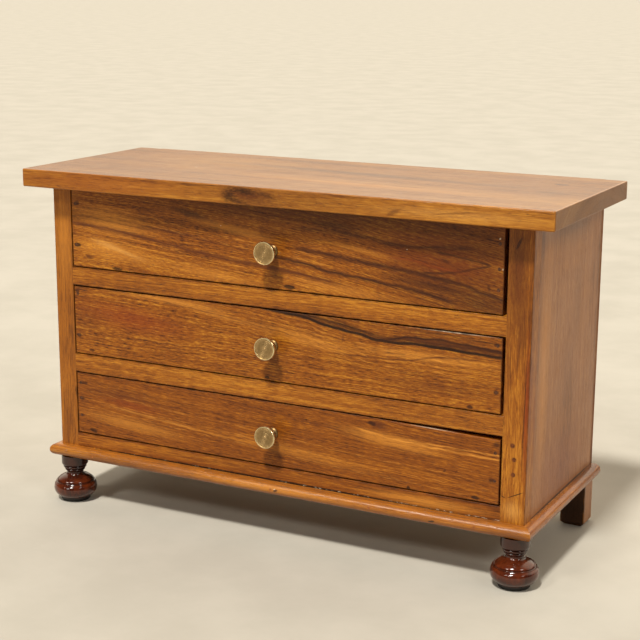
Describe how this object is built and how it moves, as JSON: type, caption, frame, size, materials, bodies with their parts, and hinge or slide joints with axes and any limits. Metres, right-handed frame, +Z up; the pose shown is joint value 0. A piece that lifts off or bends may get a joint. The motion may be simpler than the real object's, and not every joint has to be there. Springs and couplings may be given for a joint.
{
  "type": "miniature chest of drawers",
  "caption": "Walnut miniature chest with graduated drawers on brass disc knobs, half-round base moulding, turned front feet and square rear feet.",
  "frame": {"origin": "on the floor, at the centre of the bounding box's underside", "axes": "+X to the viewer's right along the chest's width, the drawers open towards -Y, +Z up"},
  "size_m": [0.5024, 0.1976, 0.315],
  "materials": {
    "walnut": "waxed, golden brown",
    "figured_walnut": "waxed, figured, darker brown",
    "turned_feet": "dark red-brown gloss polish, ebonised base",
    "secondary_wood": "unpolished, planed",
    "dark_plug": "dark stopping, waxed",
    "aged_brass": "aged, satin, bright rim",
    "steel": "dulled and waxed over"
  },
  "bodies": {
    "carcass": {"back_panel": "secondary_wood", "back_panel_nails": "steel", "base_moulding_pins": "steel", "bottom_board": "secondary_wood", "bottom_rail": "walnut", "drawer_stops": "secondary_wood", "front_base_moulding": "walnut", "front_left_foot": "turned_feet", "front_right_foot": "turned_feet", "left_base_moulding": "walnut", "left_front_stile": "walnut", "left_side_panel": "walnut", "left_top_cleat": "secondary_wood", "lower_divider_rail": "walnut", "lower_left_guide": "secondary_wood", "lower_right_guide": "secondary_wood", "middle_left_guide": "secondary_wood", "middle_left_runner": "secondary_wood", "middle_right_guide": "secondary_wood", "middle_right_runner": "secondary_wood", "rear_foot_dowels": "secondary_wood", "rear_left_foot": "walnut", "rear_right_foot": "walnut", "right_base_moulding": "walnut", "right_front_stile": "walnut", "right_side_panel": "walnut", "right_top_cleat": "secondary_wood", "runner_screws": "steel", "stile_plugs": "dark_plug", "top_board": "walnut", "top_cleat_screws": "steel", "upper_divider_rail": "walnut", "upper_left_guide": "secondary_wood", "upper_left_runner": "secondary_wood", "upper_right_guide": "secondary_wood", "upper_right_runner": "secondary_wood"},
    "upper_drawer": {"upper_drawer_back": "secondary_wood", "upper_drawer_bottom": "secondary_wood", "upper_drawer_front": "figured_walnut", "upper_drawer_left_side": "secondary_wood", "upper_drawer_nails": "steel", "upper_drawer_right_side": "secondary_wood", "upper_knob": "aged_brass", "upper_knob_screw": "steel"},
    "middle_drawer": {"middle_drawer_back": "secondary_wood", "middle_drawer_bottom": "secondary_wood", "middle_drawer_front": "figured_walnut", "middle_drawer_left_side": "secondary_wood", "middle_drawer_nails": "steel", "middle_drawer_right_side": "secondary_wood", "middle_knob": "aged_brass", "middle_knob_screw": "steel"},
    "lower_drawer": {"lower_drawer_back": "secondary_wood", "lower_drawer_bottom": "secondary_wood", "lower_drawer_front": "figured_walnut", "lower_drawer_left_side": "secondary_wood", "lower_drawer_nails": "steel", "lower_drawer_right_side": "secondary_wood", "lower_knob": "aged_brass", "lower_knob_screw": "steel"}
  },
  "joints": [
    {"name": "upper_drawer_slide", "type": "slide", "parent": "carcass", "child": "upper_drawer", "axis": [0, -1, 0], "range_m": [0, 0.12]},
    {"name": "middle_drawer_slide", "type": "slide", "parent": "carcass", "child": "middle_drawer", "axis": [0, -1, 0], "range_m": [0, 0.12]},
    {"name": "lower_drawer_slide", "type": "slide", "parent": "carcass", "child": "lower_drawer", "axis": [0, -1, 0], "range_m": [0, 0.12]}
  ]
}
